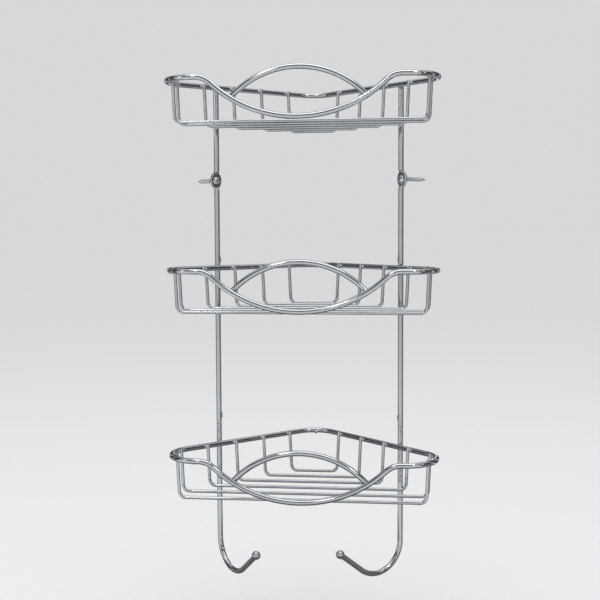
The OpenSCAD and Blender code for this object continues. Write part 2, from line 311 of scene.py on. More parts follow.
def bright_steel(name):
    """Bright steel with a fine grain, a little grit, and painted shade that darkens its driver
    slot.
    """
    made = NodeMaterial(name)
    shader = made.shader
    shader.inputs["Metallic"].default_value = 1.0
    slot = made.add("ShaderNodeAttribute", attribute_name="slot")
    grit = made.noise(scale=700, detail=4.0, roughness=0.65)
    speckle = made.ramp(grit, 0.45, 0.75, 0.0, 0.22)
    # The grit speckle is the steel's own; the slot's mark is painted shade, darkening the recess
    grit_and_slot_shade = made.maths("MAXIMUM", speckle, slot.outputs["Fac"])
    colour = tuple(finishes().steel)
    darker = tuple(0.16 * channel for channel in colour)
    made.link(made.mix(grit_and_slot_shade, colour, darker), shader.inputs["Base Color"])
    made.link(made.ramp(grit_and_slot_shade, 0, 1, 0.30, 0.50), shader.inputs["Roughness"])
    made.link(made.bump(made.noise(scale=2600), 0.02 * MM), shader.inputs["Normal"])
    return made.material


def matt_material(name):
    """A material for the studio, without any gloss."""
    made = NodeMaterial(name)
    made.shader.inputs["Roughness"].default_value = 1.0
    made.shader.inputs["Specular IOR Level"].default_value = 0.0
    return made


def material(name):
    """The named finish, made the first time that it is asked for.

    No finish may have the name of one of the frame's slots: the frame has its own plain material
    of that name, which would be taken for the finish.
    """
    if name in bpy.data.materials:
        return bpy.data.materials[name]
    chrome = tuple(finishes().chrome)
    makers = {
        "rim_plate": lambda: chrome_plate(name, chrome),
        "floor_plate": lambda: chrome_plate(name, chrome, 0.02),
        "rod_plate": lambda: chrome_plate(name, chrome, 0.01),
        "ball_plate": lambda: chrome_plate(name, chrome),
        "weld_plate": lambda: chrome_plate(name, tuple(finishes().weld), 0.16),
        "bright_steel": lambda: bright_steel(name),
    }
    return makers[name]()


# ---------------------------------------------------------------- geometry nodes

class NodeTree(Nodes):
    """A Geometry Nodes tree with named inputs, which are (name, kind) pairs."""

    def __init__(self, name, inputs):
        super().__init__(bpy.data.node_groups.new(name, "GeometryNodeTree"))
        self.socket("Geometry", "Geometry", "OUTPUT")
        for pair in (("Geometry", "Geometry"), *inputs, ("Material", "Material")):
            self.socket(*pair)
        self.start = self.add("NodeGroupInput")
        self.end = self.add("NodeGroupOutput")

    def socket(self, name, kind, way="INPUT"):
        self.tree.interface.new_socket(name, in_out=way, socket_type="NodeSocket" + kind)

    def given(self, name):
        return self.start.outputs[name]

    def attribute(self, name, kind="FLOAT"):
        node = self.add("GeometryNodeInputNamedAttribute", [("Name", name)], data_type=kind)
        return node.outputs["Attribute"]

    def noise(self, scale):
        """Smooth noise over the points, which changes with the Seed."""
        place = self.add("GeometryNodeInputPosition")
        return self.add(
            "ShaderNodeTexNoise",
            [("Vector", place.outputs[0]), ("W", self.given("Seed")), ("Scale", scale),
             ("Detail", 1.0)],
            noise_dimensions="4D").outputs

    def moved(self, geometry, direction, distance):
        """The geometry with each point moved by its direction times its distance."""
        offset = self.add(
            "ShaderNodeVectorMath", [(0, direction), ("Scale", distance)], operation="SCALE")
        return self.add(
            "GeometryNodeSetPosition",
            [("Geometry", geometry), ("Offset", offset.outputs[0])]).outputs[0]

    def finish(self, geometry):
        """Ends the tree in Realize Instances and Set Material."""
        real = self.add("GeometryNodeRealizeInstances", [("Geometry", geometry)])
        coloured = self.add(
            "GeometryNodeSetMaterial",
            [("Geometry", real.outputs[0]), ("Material", self.given("Material"))])
        self.link(coloured.outputs[0], self.end.inputs[0])
        return self.tree


def wire_tree(name):
    """Rounds a path's corners to their bend radii and sweeps a round wire along it."""
    tree = NodeTree(name, (
        ("Diameter", "Float"), ("Sides", "Int"), ("Bend Steps", "Int"), ("Waviness", "Float"),
        ("Seed", "Int")))
    path = tree.add("GeometryNodeMeshToCurve", [("Mesh", tree.given("Geometry"))])
    rounded = tree.add(
        "GeometryNodeFilletCurve",
        [("Curve", path.outputs[0]), ("Count", tree.given("Bend Steps")),
         ("Radius", tree.attribute("bend_radius")), ("Limit Radius", False)],
        mode="POLY")
    centred = tree.add(
        "ShaderNodeVectorMath", [(0, tree.noise(scale=22.0)["Color"]), (1, (0.5, 0.5, 0.5))],
        operation="SUBTRACT")
    stray = tree.maths("MULTIPLY", tree.given("Waviness"), 2.0)
    strayed = tree.moved(rounded.outputs[0], centred.outputs[0], stray)
    profile = tree.add(
        "GeometryNodeCurvePrimitiveCircle",
        [("Resolution", tree.given("Sides")),
         ("Radius", tree.maths("MULTIPLY", tree.given("Diameter"), 0.5))])
    swept = tree.add(
        "GeometryNodeCurveToMesh",
        [("Curve", strayed), ("Profile Curve", profile.outputs[0]), ("Fill Caps", True)])
    return tree.finish(swept.outputs[0])


def weld_tree(name):
    """Sets a lumpy bead of metal on each weld point, turned to its crevice."""
    tree = NodeTree(name, (("Lumps", "Float"), ("Lump Scale", "Float"), ("Seed", "Int")))
    bead = tree.add("GeometryNodeMeshIcoSphere", [("Radius", 1.0), ("Subdivisions", 4)])
    facing = tree.add(
        "FunctionNodeAlignRotationToVector",
        [("Vector", tree.attribute("facing", "FLOAT_VECTOR"))], axis="X")
    turned = tree.add(
        "FunctionNodeAlignRotationToVector",
        [("Rotation", facing.outputs[0]), ("Vector", tree.attribute("along", "FLOAT_VECTOR"))],
        axis="Z", pivot_axis="X")
    placed = tree.add(
        "GeometryNodeInstanceOnPoints",
        [("Points", tree.given("Geometry")), ("Instance", bead.outputs[0]),
         ("Rotation", turned.outputs[0]), ("Scale", tree.attribute("half_size", "FLOAT_VECTOR"))])
    real = tree.add("GeometryNodeRealizeInstances", [("Geometry", placed.outputs[0])])
    height = tree.maths("SUBTRACT", tree.noise(tree.given("Lump Scale"))["Fac"], 0.5)
    rise = tree.maths("MULTIPLY", height, tree.given("Lumps"))
    normal = tree.add("GeometryNodeInputNormal")
    return tree.finish(tree.moved(real.outputs[0], normal.outputs[0], rise))


def thread_tree(name):
    """Winds a screw thread of triangular section round a core."""
    tree = NodeTree(name, (
        ("Core Radius", "Float"), ("Crest Radius", "Float"), ("Pitch", "Float"),
        ("Length", "Float")))
    core, steps_per_turn, slimness = tree.given("Core Radius"), 28, 0.55
    spiral = tree.add(
        "GeometryNodeCurveSpiral",
        [("Resolution", steps_per_turn), ("Start Radius", core), ("End Radius", core),
         ("Rotations", tree.maths("DIVIDE", tree.given("Length"), tree.given("Pitch"))),
         ("Height", tree.given("Length"))])
    upright = tree.add(
        "GeometryNodeSetCurveNormal", [("Curve", spiral.outputs[0])], mode="Z_UP")
    depth = tree.maths("SUBTRACT", tree.given("Crest Radius"), core)
    section = tree.add(
        "GeometryNodeCurvePrimitiveCircle", [("Resolution", 4), ("Radius", depth)])
    flat = tree.add(
        "GeometryNodeTransform",
        [("Geometry", section.outputs[0]), ("Scale", (1.0, slimness, 1.0))])
    wound = tree.add(
        "GeometryNodeCurveToMesh",
        [("Curve", upright.outputs[0]), ("Profile Curve", flat.outputs[0]), ("Fill Caps", True)])
    return tree.finish(wound.outputs[0])


TREES = {"Drawn Wire": wire_tree, "Weld Beads": weld_tree, "Screw Thread": thread_tree}


def run_tree(name, source, values):
    """Runs the named tree on a mesh and returns the result as a new plain mesh."""
    tree = bpy.data.node_groups.get(name) or TREES[name](name)
    source = link_object("source", source)
    modifier = source.modifiers.new(name, "NODES")
    modifier.node_group = tree
    for item in tree.interface.items_tree:
        if item.in_out == "INPUT" and item.name in values:
            modifier[item.identifier] = values[item.name]
    mesh = evaluated_mesh(source)
    bpy.data.objects.remove(source)
    return mesh


# ---------------------------------------------------------------- meshes

def link_object(name, mesh):
    """A new object with that mesh, in the scene."""
    made = bpy.data.objects.new(name, mesh)
    bpy.context.scene.collection.objects.link(made)
    return made


def evaluated_mesh(made):
    """A new plain mesh of an object with its modifiers applied."""
    bpy.context.view_layer.update()
    evaluated = made.evaluated_get(bpy.context.evaluated_depsgraph_get())
    return bpy.data.meshes.new_from_object(evaluated)


def apply_modifiers(made):
    """Bakes an object's modifiers into its mesh."""
    mesh = evaluated_mesh(made)
    made.modifiers.clear()
    made.data = mesh


def cut_out(made, cutter):
    """Has the cutter's shape taken out of an object, once its modifiers are applied."""
    modifier = made.modifiers.new("cut", "BOOLEAN")
    modifier.object = cutter
    modifier.solver = "EXACT"


def bevel_edges(made, width, segments=3, angle=40):
    """Applies the modifiers and rounds the edges that are sharper than angle, in degrees."""
    modifier = made.modifiers.new("rounded edges", "BEVEL")
    modifier.width = width
    modifier.segments = segments
    modifier.limit_method = "ANGLE"
    modifier.angle_limit = math.radians(angle)
    apply_modifiers(made)


def finish_piece(name, mesh, finish, replaced=(), edge=None):
    """Makes the mesh a finished piece: smooth, in its finish, and riding on the frame.

    edge is the width of its rounded edges, if it has any.
    """
    made = link_object(name, mesh)
    if edge:
        bevel_edges(made, edge)
    made.data.name = name
    made.data.materials.clear()
    made.data.materials.append(material(finish))
    made.data.polygons.foreach_set("use_smooth", [True] * len(made.data.polygons))
    made.data.update()
    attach(made, "root")
    if replaced:
        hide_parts(*replaced)
    return made


def path_mesh(corners, closed=False):
    """A path of edges through the corners, which are (place, bend radius) pairs."""
    mesh = bpy.data.meshes.new("path")
    count = len(corners)
    edges = [(i, i + 1) for i in range(count - 1)]
    if closed:
        edges.append((count - 1, 0))
    mesh.from_pydata([place for place, _ in corners], edges, [])
    radii = mesh.attributes.new("bend_radius", "FLOAT", "POINT")
    radii.data.foreach_set("value", [radius for _, radius in corners])
    return mesh


def wire_mesh(corners, diameter, seed, closed=False):
    """A wire of that diameter, bent along the corners."""
    values = {
        "Diameter": diameter,
        "Sides": sizes().sides,
        "Bend Steps": sizes().bend_steps,
        "Waviness": sizes().waviness,
        "Seed": seed,
    }
    return run_tree("Drawn Wire", path_mesh(corners, closed), values)


def turned_mesh(outline, segments=48):
    """Turns an outline of (radius, height) pairs about Z. A radius of 0 closes an end."""
    mesh = bpy.data.meshes.new("turned")
    vertices, rings = [], []
    for radius, height in outline:
        if radius == 0:
            rings.append([len(vertices)])
            vertices.append((0, 0, height))
            continue
        rings.append(list(range(len(vertices), len(vertices) + segments)))
        for k in range(segments):
            angle = 2 * math.pi * k / segments
            vertices.append((radius * math.cos(angle), radius * math.sin(angle), height))
    mesh.from_pydata(vertices, [], ring_faces(rings))
    return outward(mesh)


def ring_faces(rings):
    """Faces between rings of vertex numbers, some of which may be one point."""
    faces = []
    for low, high in zip(rings, rings[1:]):
        count = max(len(low), len(high))
        for k in range(count):
            a, b = low[k % len(low)], low[(k + 1) % len(low)]
            c, d = high[(k + 1) % len(high)], high[k % len(high)]
            faces.append(tuple(dict.fromkeys((a, b, c, d))))
    return faces


def outward(mesh):
    """Turns a closed mesh's faces outwards."""
    work = bmesh.new()
    work.from_mesh(mesh)
    bmesh.ops.remove_doubles(work, verts=work.verts, dist=1e-7)
    bmesh.ops.recalc_face_normals(work, faces=work.faces)
    work.to_mesh(mesh)
    work.free()
    return mesh


def rod_place(side):
    """The rod's own frame: +X points away from the wall and +Y along it to the corner."""
    left = Matrix.Translation((-ROD_X, ROD_Y, 0)) @ Matrix.Rotation(-math.pi / 4, 4, "Z")
    if side == "left":
        return left
    return Matrix.Scale(-1, 4, (1, 0, 0)) @ left


def hook_place(side):
    """The rod's own frame, turned with its hook. A mirrored frame turns the other way."""
    turn = sizes().hook_turn if side == "right" else -sizes().hook_turn
    return rod_place(side) @ Matrix.Rotation(turn, 4, "Z")


def placed_at_rod(mesh, side, place=Matrix.Identity(4)):
    """The mesh, moved from its place in the rod's own frame."""
    mesh.transform(rod_place(side) @ place)
    return outward(mesh)


# ---------------------------------------------------------------- rims and arches

def rail_shape():
    """(radius, end angle, centre height) of the front rail's dipped arc."""
    half, dip, shoulder = HALF_WIDTH - sizes().tip_radius, -RAIL_LOW_Z, sizes().shoulder_radius
    radius = (half * half + dip * dip) / (2 * dip) - shoulder
    return radius, math.asin(half / (radius + shoulder)), radius - dip


def rim_corners(drop):
    """The corners of a rim: back, two tips, two shoulders and the dipped rail."""
    size = sizes()
    radius, angle, centre = rail_shape()
    back_y = math.sqrt(2) * size.corner_radius - size.corner_radius - RIM_WIRE / 2
    tip = back_y - RAIL_Y
    shoulder = HALF_WIDTH - size.tip_radius - size.shoulder_radius * math.tan(angle / 2)
    low = centre - radius / math.cos(angle)
    # Neighbouring bends are a hair tighter than they need be, so that none runs into the next
    snug = 0.9995
    return [
        ((0, back_y, -drop), size.corner_radius),
        ((tip, RAIL_Y, -drop), snug * size.tip_radius),
        ((shoulder, RAIL_Y, -drop), snug * size.shoulder_radius),
        ((0, RAIL_Y, low - drop), snug * radius),
        ((-shoulder, RAIL_Y, -drop), snug * size.shoulder_radius),
        ((-tip, RAIL_Y, -drop), snug * size.tip_radius),
    ]


def arch_shape():
    """(depth, centre height, end angle, crossing's x and height) of an arch."""
    size = sizes()
    depth = (ARCH_LOW.y + ARCH_HIGH.y) / 2
    centre = ARCH_HIGH.z - ARCH_WIRE / 2 - size.arch_radius
    rail_radius, _, rail_centre = rail_shape()
    cross_z = (size.arch_radius ** 2 - centre ** 2 - rail_radius ** 2 + rail_centre ** 2) / (
        2 * (rail_centre - centre))
    cross_x = math.sqrt(size.arch_radius ** 2 - (cross_z - centre) ** 2)
    end = math.atan2(cross_x, cross_z - centre) + size.arch_overrun / size.arch_radius
    return depth, centre, end, cross_x, cross_z


def arch_corners(drop):
    """The two ends of an arch, a little past its bend, and the corner that the bend rounds."""
    depth, centre, end, _, _ = arch_shape()
    radius, past = sizes().arch_radius, 0.2 * MM
    x = radius * math.sin(end) + past * math.cos(end)
    z = centre + radius * math.cos(end) - past * math.sin(end) - drop
    peak = (0, depth, centre + radius / math.cos(end) - drop)
    return [((-x, depth, z), 0.0), (peak, radius), ((x, depth, z), 0.0)]


# ---------------------------------------------------------------- floor wires

def floor_corners(name):
    """The ends and corners of a floor wire, from its box in the frame."""
    low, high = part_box(name)
    lean, half = sizes().leg_lean, FLOOR_WIRE / 2
    depth = (low.y + high.y) / 2
    top_x, top_z = high.x - half * math.cos(lean), high.z - half * math.sin(lean)
    floor_z = low.z + half
    floor_x = top_x - (top_z - floor_z) * math.tan(lean)
    bend = sizes().floor_bend
    return [
        ((-top_x, depth, top_z), 0.0),
        ((-floor_x, depth, floor_z), bend),
        ((floor_x, depth, floor_z), bend),
        ((top_x, depth, top_z), 0.0),
    ]


# ---------------------------------------------------------------- rods

def oval_half_width(height):
    """Half width of an eyelet's pointed oval at a height from its centre."""
    half_w, half_h = EYELET_HALF_WIDTH, EYELET_HALF_HEIGHT
    radius = (half_w ** 2 + half_h ** 2) / (2 * half_w)
    if abs(height) >= half_h:
        return 0.0
    return math.sqrt(radius ** 2 - height ** 2) - (radius - half_w)


def blend_max(a, b, softness):
    """The larger of two values, with a rounded change from one to the other."""
    share = max(0.0, softness - abs(a - b)) / softness
    return max(a, b) + share * share * softness / 4


def smooth_step(value, low, high):
    """Rises smoothly from 0 to 1 as value goes from low to high."""
    t = min(1.0, max(0.0, (value - low) / (high - low)))
    return t * t * (3 - 2 * t)


def crimp_radius(angle, offset):
    """Radius of the rod at an angle from the corner side, beside its raised crimp."""
    bead, proud, straight = 1.5 * MM, 1.2 * MM, 1.75 * MM
    centre = ROD_WIRE / 2 + proud - bead
    beyond = max(0.0, abs(offset) - straight)
    if beyond >= bead:
        return 0.0
    bead = math.sqrt(bead ** 2 - beyond ** 2)
    across = centre * math.sin(angle)
    if abs(across) >= bead or math.cos(angle) <= 0:
        return 0.0
    return centre * math.cos(angle) + math.sqrt(bead ** 2 - across ** 2)


def rod_section(height, eyelet, crimp):
    """Points round a rod in its own frame, flattened at its eyelet and raised at its crimp."""
    radius, count = ROD_WIRE / 2, 64
    flat, half_w = 0.0, radius
    if eyelet is not None:
        flat = 1 - smooth_step(abs(height - eyelet), FLAT_END, ROUND_START)
        half_w = blend_max(radius, oval_half_width(height - eyelet), softness=1.2 * MM)
    # A superellipse: a circle at a power of 2, and nearly a rectangle at 5
    power = 2.0 + 3.0 * flat
    thin = radius - (radius - EYELET_THICKNESS / 2) * flat
    centre_x = thin - radius
    points = []
    for k in range(count):
        angle = 2 * math.pi * k / count
        across = math.copysign(abs(math.sin(angle)) ** (2 / power), math.sin(angle))
        out = math.copysign(abs(math.cos(angle)) ** (2 / power), math.cos(angle))
        x, y = centre_x + thin * out, half_w * across
        if crimp is not None:
            bead = crimp_radius(math.pi / 2 - angle, height - crimp)
            grown = blend_max(radius, bead, softness=0.3 * MM)
            x, y = x * grown / radius, y * grown / radius
        points.append((x, y, height))
    return points


def rod_mesh(low, high, side, eyelet=None, crimp=None):
    """A length of rod with its ends rounded over, its eyelet and its crimp."""
    coarse, fine, edge = 24, 80, WIRE_EDGE
    heights = {low, high}
    for end, inward in ((low, 1), (high, -1)):
        heights |= {end + inward * edge * share for share in (0.3, 1.0)}
    for centre, reach in ((eyelet, 10 * MM), (crimp, 3.4 * MM)):
        if centre is not None:
            heights |= {centre + reach * (2 * k / fine - 1) for k in range(fine + 1)}
    heights |= {low + (high - low) * k / coarse for k in range(coarse + 1)}
    rings, vertices = [], []
    for height in sorted(heights):
        depth = max(0.0, edge - min(height - low, high - height))
        shrink = (edge - math.sqrt(max(0.0, edge * edge - depth * depth))) / (ROD_WIRE / 2)
        section = rod_section(height, eyelet, crimp)
        rings.append(list(range(len(vertices), len(vertices) + len(section))))
        vertices += [(x * (1 - shrink), y * (1 - shrink), z) for x, y, z in section]
    rings = [[len(vertices)], *rings, [len(vertices) + 1]]
    vertices += [(0, 0, low), (0, 0, high)]
    mesh = bpy.data.meshes.new("rod")
    mesh.from_pydata(vertices, [], ring_faces(rings))
    return placed_at_rod(mesh, side)


def drill(mesh, place, radius, depth):
    """Cuts a round hole along the place's Z."""
    bit = turned_mesh([(0, -depth), (radius, -depth), (radius, depth), (0, depth)])
    bit.transform(place)
    outward(bit)
    cutter, made = link_object("bit", bit), link_object("drilled", mesh)
    cut_out(made, cutter)
    apply_modifiers(made)
    result = made.data
    bpy.data.objects.remove(cutter)
    bpy.data.objects.remove(made)
    return result


def eyelet_place(out=0.0):
    """The eyelet's centre in the rod's own frame, with +Z straight out from the wall."""
    return Matrix.Translation((out, 0, EYELET_Z)) @ Matrix.Rotation(math.pi / 2, 4, "Y")


def hook_corners(side):
    """The corners of a lower rod: its top, the hook's bend and its end in the ball."""
    size = sizes()
    turn = math.pi / 2 + size.hook_rise
    tangent = size.hook_radius * math.tan(turn / 2)
    bend_z = HOOK_LOW.z + ROD_WIRE / 2 + size.hook_radius - tangent
    short_of_centre = 1 * MM
    tail = tangent + size.hook_tail - short_of_centre
    end = Vector((tail * math.cos(size.hook_rise), 0, bend_z + tail * math.sin(size.hook_rise)))
    place = hook_place(side)
    return [
        (tuple(place @ Vector((0, 0, LOWER_SEAM))), 0.0),
        (tuple(place @ Vector((0, 0, bend_z))), size.hook_radius),
        (tuple(place @ end), 0.0),
    ]


def ball_place(side):
    """The ball's frame, with +Z along the hook's tail."""
    radius, tail, rise = sizes().hook_radius, sizes().hook_tail, sizes().hook_rise
    low = HOOK_LOW.z + ROD_WIRE / 2 + radius
    out = radius * (1 + math.sin(rise)) + tail * math.cos(rise)
    up = low - radius * math.cos(rise) + tail * math.sin(rise)
    return hook_place(side) @ Matrix.Translation((out, 0, up)) @ Matrix.Rotation(
        math.pi / 2 - rise, 4, "Y")


# ---------------------------------------------------------------- welds

def weld_points(tier):
    """(place, facing, along, half size) of each weld of a tier."""
    drop = TIERS.index(tier) * TIER_DROP
    points = []
    up, wall = (0, 0, 1), Vector((1, 1, 0)).normalized()
    tip_x, tip_y = HALF_WIDTH - sizes().tip_radius, RAIL_Y + sizes().tip_radius
    depth, _, _, cross_x, cross_z = arch_shape()
    for number in range(1, WIRES_PER_FLOOR + 1):
        corners = floor_corners(f"{tier}_floor_wire_{number}")
        top, bottom = Vector(corners[3][0]), Vector(corners[2][0])
        share = (top.z + drop) / (top.z - bottom.z)
        leg = top.lerp(bottom, share)
        facing = Vector((leg.x - tip_x, leg.y - tip_y, 0))
        # Behind the tip's bend, the rim runs straight along the wall
        if leg.y - tip_y > facing.length * math.sin(math.pi / 4):
            facing = Vector((1, 1, 0))
        facing.normalize()
        place = leg + facing * (FLOOR_WIRE - WELD_SINK) / 2
        for sign in (1, -1):
            points.append((
                (sign * place.x, place.y, place.z), (sign * facing.x, facing.y, 0), up,
                LEG_BEAD))
    for sign in (1, -1):
        place = Vector((ROD_X, ROD_Y, -drop)) - wall * (ROD_WIRE - WELD_SINK) / 2
        points.append((
            (sign * place.x, place.y, place.z), (sign * wall.x, wall.y, 0), up, ROD_BEAD))
        points.append((
            (sign * cross_x, (depth + RAIL_Y) / 2, cross_z - drop), (0, 1, 0), up, ARCH_BEAD))
    points.append(((0, -RIM_WIRE, -RIM_BEAD_DROP - drop), (0, 1, 0), up, RIM_BEAD))
    return points


def weld_mesh(tier):
    """All the weld beads of a tier."""
    points = weld_points(tier)
    mesh = bpy.data.meshes.new("weld points")
    mesh.from_pydata([point[0] for point in points], [], [])
    for column, name in ((1, "facing"), (2, "along"), (3, "half_size")):
        values = [number for point in points for number in point[column]]
        mesh.attributes.new(name, "FLOAT_VECTOR", "POINT").data.foreach_set("vector", values)
    lumps = {"Lumps": 0.5 * MM, "Lump Scale": 420.0, "Seed": TIERS.index(tier)}
    return run_tree("Weld Beads", mesh, lumps)


# ---------------------------------------------------------------- screws

def screw_mesh(side):
    """A pan-head screw with a driver slot, a neck, a thread and a point."""
    head_r, side_h, head_h = 3.3 * MM, 1.0 * MM, 2.2 * MM
    neck_r, crest_r, core_r = 2.2 * MM, 2.0 * MM, 1.45 * MM
    plate, shank, point = EYELET_THICKNESS, 25 * MM, 5 * MM
    chamfer, crown_steps = 0.15 * MM, 10
    crown = [(head_r * math.cos(a), side_h + (head_h - side_h) * math.sin(a))
             for a in [math.pi / 2 * k / crown_steps for k in range(crown_steps)]]
    outline = [
        (0, -plate - shank - point), (core_r, -plate - shank), (core_r, -plate),
        (neck_r, -plate), (neck_r, 0), (head_r - chamfer, 0), (head_r, chamfer), *crown,
        (0, head_h)]
    body = link_object("screw", turned_mesh(outline))
    lean = math.radians(28 if side == "left" else -28)
    cut_slot(body, math.pi / 2 + lean, head_r, head_h)
    pitch, run_out = 1.8 * MM, 0.5 * MM
    thread = run_tree(
        "Screw Thread", bpy.data.meshes.new("thread"),
        {"Core Radius": core_r, "Crest Radius": crest_r, "Pitch": pitch,
         "Length": shank - 2 * run_out})
    thread.transform(Matrix.Translation((0, 0, -plate - shank + run_out)))
    work = bmesh.new()
    work.from_mesh(body.data)
    work.from_mesh(thread)
    mesh = bpy.data.meshes.new("screw")
    work.to_mesh(mesh)
    work.free()
    bpy.data.objects.remove(body)
    return placed_at_rod(mesh, side, eyelet_place(plate - ROD_WIRE / 2))


def cut_slot(body, angle, head_r, head_h):
    """Cuts the driver slot at an angle across a head, and marks its faces for painted shade."""
    # The last value is how strongly painted shade darkens the slot's faces
    width, depth, grit_and_slot_shade = 0.9 * MM, 0.9 * MM, 0.72
    work = bmesh.new()
    bmesh.ops.create_cube(work, size=1.0)
    blade = bpy.data.meshes.new("slot")
    work.to_mesh(blade)
    work.free()
    blade.transform(
        Matrix.Rotation(angle, 4, "Z") @ Matrix.Translation((0, 0, head_h))
        @ Matrix.Diagonal((3 * head_r, width, 2 * depth, 1)))
    cutter = link_object("slot", blade)
    cut_out(body, cutter)
    bevel_edges(body, 0.12 * MM, segments=2, angle=35)
    bpy.data.objects.remove(cutter)
    marks = body.data.attributes.new("slot", "FLOAT", "FACE")
    across = Matrix.Rotation(-angle, 3, "Z")
    for face, mark in zip(body.data.polygons, marks.data):
        centre = across @ face.center
        if abs(centre.y) < width / 2 + 0.01 * MM and centre.z > head_h - depth - 0.05 * MM:
            mark.value = grit_and_slot_shade


# ---------------------------------------------------------------- operators

class CADDY_OT_rims(bpy.types.Operator):
    """Bends the three rims with their dipped front rails"""

    bl_idname = "caddy.rims"
    bl_label = "Rims"

    def execute(self, context):
        for number, tier in enumerate(TIERS):
            mesh = wire_mesh(
                rim_corners(number * TIER_DROP), RIM_WIRE, seed=number, closed=True)
            finish_piece(f"rim_{tier}", mesh, "rim_plate", [f"{tier}_rim"])
        return {"FINISHED"}


class CADDY_OT_arches(bpy.types.Operator):
    """Bends the arch behind each front rail"""

    bl_idname = "caddy.arches"
    bl_label = "Arches"

    def execute(self, context):
        for number, tier in enumerate(TIERS):
            mesh = wire_mesh(arch_corners(number * TIER_DROP), ARCH_WIRE, seed=10 + number)
            finish_piece(
                f"arch_{tier}", mesh, "rim_plate", [f"{tier}_arch"], ARCH_EDGE)
        return {"FINISHED"}


class CADDY_OT_floor_wires(bpy.types.Operator):
    """Bends the wires that make each basket's sides and floor"""

    bl_idname = "caddy.floor_wires"
    bl_label = "Floor Wires"

    def execute(self, context):
        for row, tier in enumerate(TIERS):
            for number in range(1, WIRES_PER_FLOOR + 1):
                node = f"{tier}_floor_wire_{number}"
                mesh = wire_mesh(floor_corners(node), FLOOR_WIRE, seed=20 + 10 * row + number)
                finish_piece(
                    f"floor_{tier}_{number}", mesh, "floor_plate", [node],
                    WIRE_EDGE)
        return {"FINISHED"}


class CADDY_OT_rods(bpy.types.Operator):
    """Makes the upright rods with their eyelets, crimps and hooks"""

    bl_idname = "caddy.rods"
    bl_label = "Rods"

    def execute(self, context):
        for side in SIDES:
            upper = rod_mesh(UPPER_SEAM, ROD_TOP, side, EYELET_Z, UPPER_SEAM + UPPER_CRIMP)
            upper = drill(upper, rod_place(side) @ eyelet_place(), SCREW_HOLE, ROD_WIRE)
            middle = rod_mesh(LOWER_SEAM, UPPER_SEAM, side, crimp=LOWER_SEAM + LOWER_CRIMP)
            lower = wire_mesh(hook_corners(side), ROD_WIRE, seed=60 + SIDES.index(side))
            for length, mesh, edge in (
                    ("upper", upper, None), ("middle", middle, None), ("lower", lower, WIRE_EDGE)):
                finish_piece(
                    f"rod_{length}_{side}", mesh, "rod_plate",
                    [f"{side}_{length}_rod"], edge)
        return {"FINISHED"}


class CADDY_OT_hook_balls(bpy.types.Operator):
    """Turns the ball that ends each hook, with the mouth that takes the wire"""

    bl_idname = "caddy.hook_balls"
    bl_label = "Hook Balls"

    def execute(self, context):
        radius, bore, lip, mouth_depth = sizes().ball / 2, ROD_WIRE / 2, 0.15 * MM, 0.5 * MM
        start, steps = math.asin((bore + lip) / radius), 28
        mouth = -radius * math.cos(start)
        outline = [(0, mouth + mouth_depth), (bore, mouth)]
        for k in range(steps):
            angle = start + (math.pi - start) * k / steps
            outline.append((radius * math.sin(angle), -radius * math.cos(angle)))
        outline.append((0, radius))
        for side in SIDES:
            mesh = turned_mesh(outline, segments=2 * steps)
            mesh.transform(ball_place(side))
            finish_piece(
                f"ball_{side}", outward(mesh), "ball_plate", [f"{side}_hook_ball"])
        return {"FINISHED"}


class CADDY_OT_screws(bpy.types.Operator):
    """Makes the slotted wall screws"""

    bl_idname = "caddy.screws"
    bl_label = "Screws"

    def execute(self, context):
        for side in SIDES:
            made = finish_piece(
                f"screw_{side}", screw_mesh(side), "bright_steel",
                [f"{side}_screw"])
            made.data.set_sharp_from_angle(angle=math.radians(50))
        return {"FINISHED"}


class CADDY_OT_welds(bpy.types.Operator):
    """Sets the weld beads where wires cross"""

    bl_idname = "caddy.welds"
    bl_label = "Weld Beads"

    def execute(self, context):
        for tier in TIERS:
            finish_piece(f"welds_{tier}", weld_mesh(tier), "weld_plate")
        return {"FINISHED"}


class CADDY_OT_stage(bpy.types.Operator):
    """Sets up the plain floor, the soft light and the camera"""

    bl_idname = "caddy.stage"
    bl_label = "Stage"

    def execute(self, context):
        make_floor()
        make_world()
        make_lamps()
        make_screens()
        make_camera()
        context.scene.view_settings.view_transform = "Standard"
        return {"FINISHED"}


# ---------------------------------------------------------------- stage

def make_floor():
    """A wide plain floor below the hooks."""
    half, height = 40.0, HOOK_LOW.z - studio().floor_gap
    mesh = bpy.data.meshes.new("floor")
    corners = [
        (x, y, height) for x, y in ((-half, -half), (half, -half), (half, half), (-half, half))]
    mesh.from_pydata(corners, [], [(0, 1, 2, 3)])
    floor = link_object("floor", mesh)
    made = matt_material("floor_paint")
    made.shader.inputs["Base Color"].default_value = (*studio().floor_colour, 1)
    mesh.materials.append(made.material)


def make_world():
    """Even light from all round. The camera and the chrome see it in the lit floor's colour."""
    world = bpy.data.worlds.new("studio")
    bpy.context.scene.world = world
    world.use_nodes = True
    made, white = Nodes(world.node_tree), (1, 1, 1, 1)
    shown = made.tree.nodes["Background"]
    shown.inputs["Color"].default_value = (*studio().floor_colour, 1)
    shown.inputs["Strength"].default_value = studio().daylight
    soft = made.add(
        "ShaderNodeBackground", [("Color", white), ("Strength", studio().daylight)])
    path = made.add("ShaderNodeLightPath")
    seen = made.maths("MAXIMUM", path.outputs["Is Camera Ray"], path.outputs["Is Glossy Ray"])
    mix = made.add(
        "ShaderNodeMixShader", [(0, seen), (1, soft.outputs[0]), (2, shown.outputs[0])])
    made.link(mix.outputs[0], made.tree.nodes["World Output"].inputs["Surface"])


